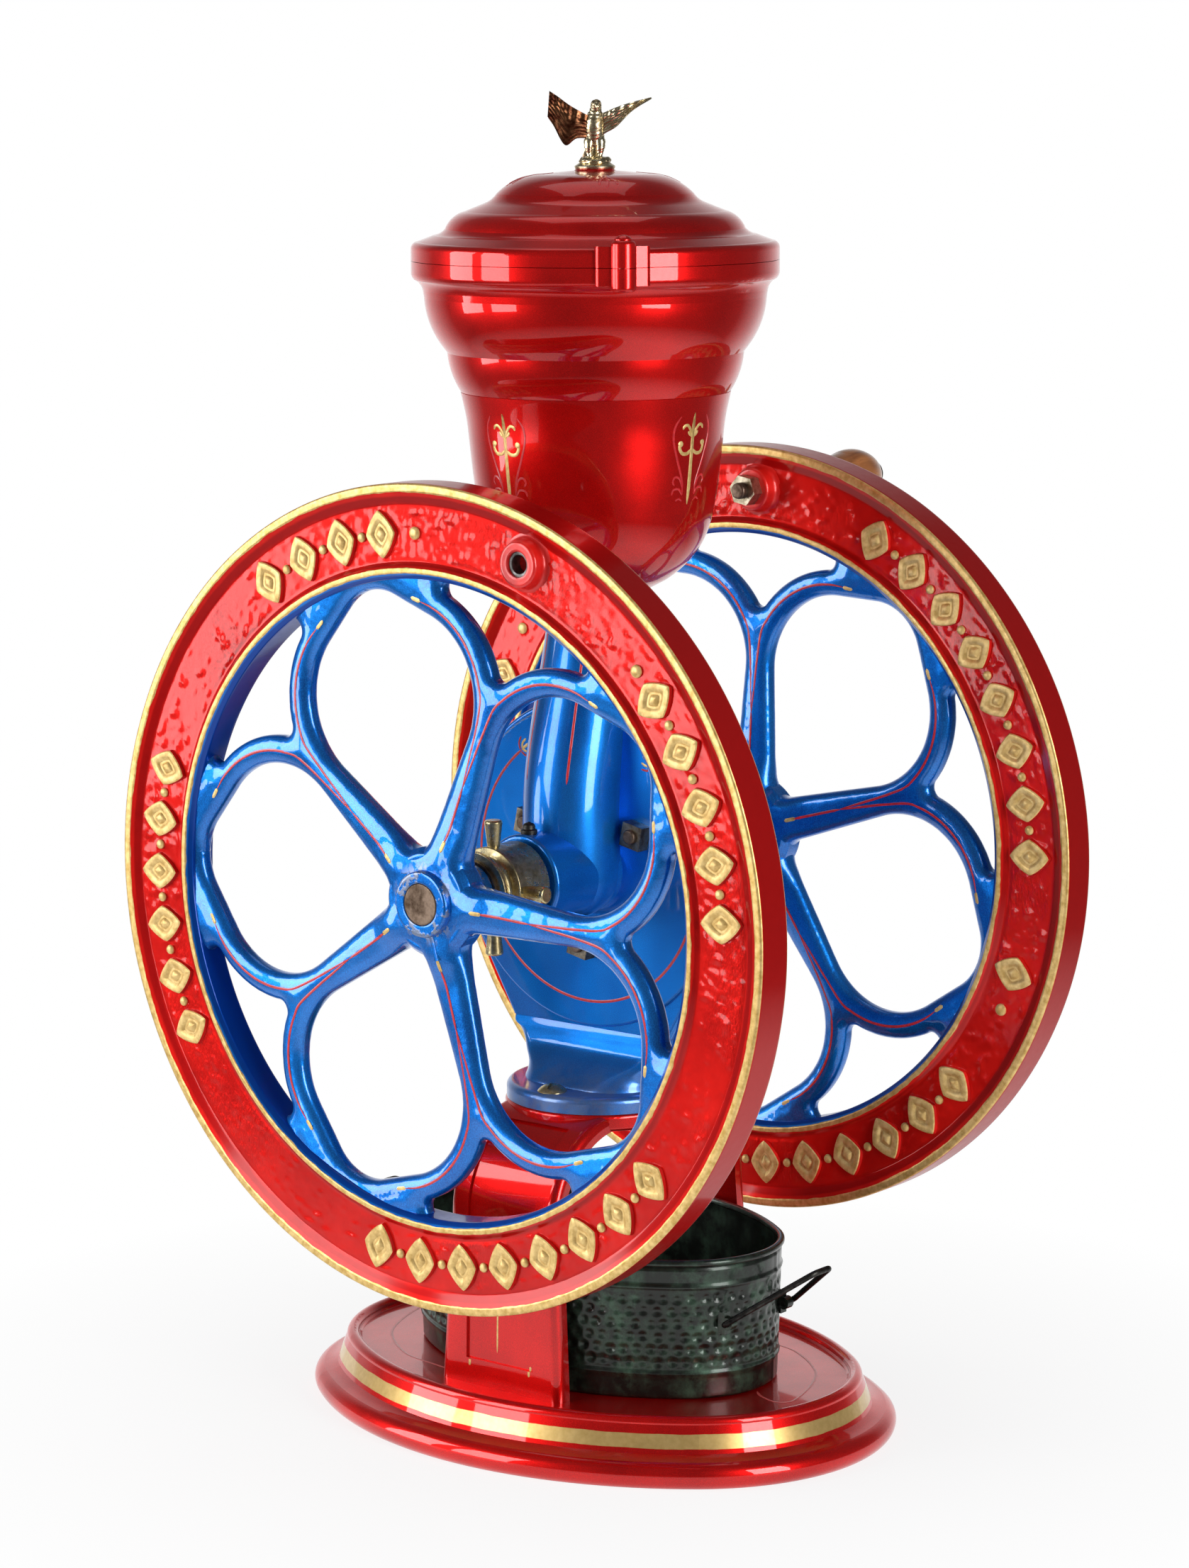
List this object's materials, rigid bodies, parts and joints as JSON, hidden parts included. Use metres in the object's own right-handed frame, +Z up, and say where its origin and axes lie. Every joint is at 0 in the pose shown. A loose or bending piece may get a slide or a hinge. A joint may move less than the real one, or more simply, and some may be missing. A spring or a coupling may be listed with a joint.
{
  "type": "manual coffee grinder",
  "caption": "Hand cranked cast iron coffee mill with twin flywheels on one axle, a covered hopper, an adjustable burr case and a catch tin under an arched stand",
  "frame": {"origin": "centre of the underside of the oval base, on the surface the mill stands on, under the column", "axes": "+X runs along the axle from the front wheel to the rear wheel with the crank grip, +Y across the mill along the base's long axis, +Z up"},
  "size_m": [0.3904, 0.432, 0.713],
  "materials": {
    "red_enamel": "candy red enamel over cast iron, glossy, with gold lips and fine lines",
    "red_cast": "red enamel over a rough cast rim with gilt lips and raised ornaments",
    "blue_enamel": "metallic blue enamel over cast iron with fine red lines",
    "black_green_tin": "dark green black japanned sheet tin, hammered band",
    "brass": "worn polished brass",
    "gilt": "bright polished brass casting",
    "steel": "dull bare steel, browned",
    "nickel": "plated nut and bolt end, slightly tarnished",
    "burr_iron": "bare chilled cast iron",
    "bronze": "oiled bearing bronze",
    "turned_wood": "varnished turned hardwood",
    "wire": "black japanned iron wire"
  },
  "bodies": {
    "stand": {"pedestal": "red_enamel", "pedestal_arch": "red_enamel", "mill_body": "blue_enamel", "mill_foot": "blue_enamel", "feed_column": "blue_enamel", "rear_cover": "blue_enamel", "cover_screws": "steel", "foot_screws": "brass", "fixed_burr": "burr_iron", "burr_bolts": "steel", "burr_nuts": "steel", "front_bush": "bronze", "rear_bush": "bronze", "hopper": "red_enamel", "hopper_screw": "steel", "lid_pin": "red_enamel"},
    "axle_shift": {"thrust_washer": "bronze"},
    "adjuster": {"adjusting_nut": "brass"},
    "rotor": {"axle": "steel", "feed_worm": "burr_iron", "runner_burr": "burr_iron", "drive_pins": "steel", "front_wheel_rim": "red_cast", "front_wheel_spokes": "blue_enamel", "rear_wheel_rim": "red_cast", "rear_wheel_spokes": "blue_enamel", "wheel_set_screws": "blue_enamel", "crank_bolt": "steel", "crank_nut": "nickel", "crank_washer": "steel"},
    "grip": {"crank_grip": "turned_wood"},
    "lid": {"lid": "red_enamel", "eagle_finial": "gilt", "finial_nut": "brass"},
    "tin": {"catch_tin": "black_green_tin", "bail_ears": "black_green_tin"},
    "near_bail": {"near_bail": "wire"},
    "far_bail": {"far_bail": "wire"}
  },
  "joints": [
    {"name": "axle_shift", "type": "slide", "parent": "stand", "child": "axle_shift", "axis": [1, 0, 0], "range_m": [-0.001, 0.0015]},
    {"name": "nut_turn", "type": "hinge", "parent": "axle_shift", "child": "adjuster", "pos_m": [-0.087, 0, 0.302], "axis": [1, 0, 0], "range_deg": [-145, 217]},
    {"name": "wheel_spin", "type": "hinge", "parent": "axle_shift", "child": "rotor", "pos_m": [0, 0, 0.302], "axis": [1, 0, 0], "continuous": true},
    {"name": "grip_spin", "type": "hinge", "parent": "rotor", "child": "grip", "pos_m": [0.1955, -0.00873, 0.4943], "axis": [1, 0, 0], "continuous": true},
    {"name": "lid_swing", "type": "hinge", "parent": "stand", "child": "lid", "pos_m": [-0.06786, -0.07277, 0.626], "axis": [0, 0, 1], "range_deg": [0, 150]},
    {"name": "tin_slide", "type": "slide", "parent": "stand", "child": "tin", "axis": [0, -0.9903, 0.1386], "range_m": [0, 0.26]},
    {"name": "near_bail_turn", "type": "hinge", "parent": "tin", "child": "near_bail", "pos_m": [0, -0.10754, 0.071], "axis": [1, 0, 0], "range_deg": [-38, 74]},
    {"name": "far_bail_turn", "type": "hinge", "parent": "tin", "child": "far_bail", "pos_m": [0, 0.11154, 0.071], "axis": [-1, 0, 0], "range_deg": [-38, 74]}
  ],
  "couplings": [
    {"joint": "nut_turn", "follows": "axle_shift", "rad_per_m": 2513.3}
  ]
}
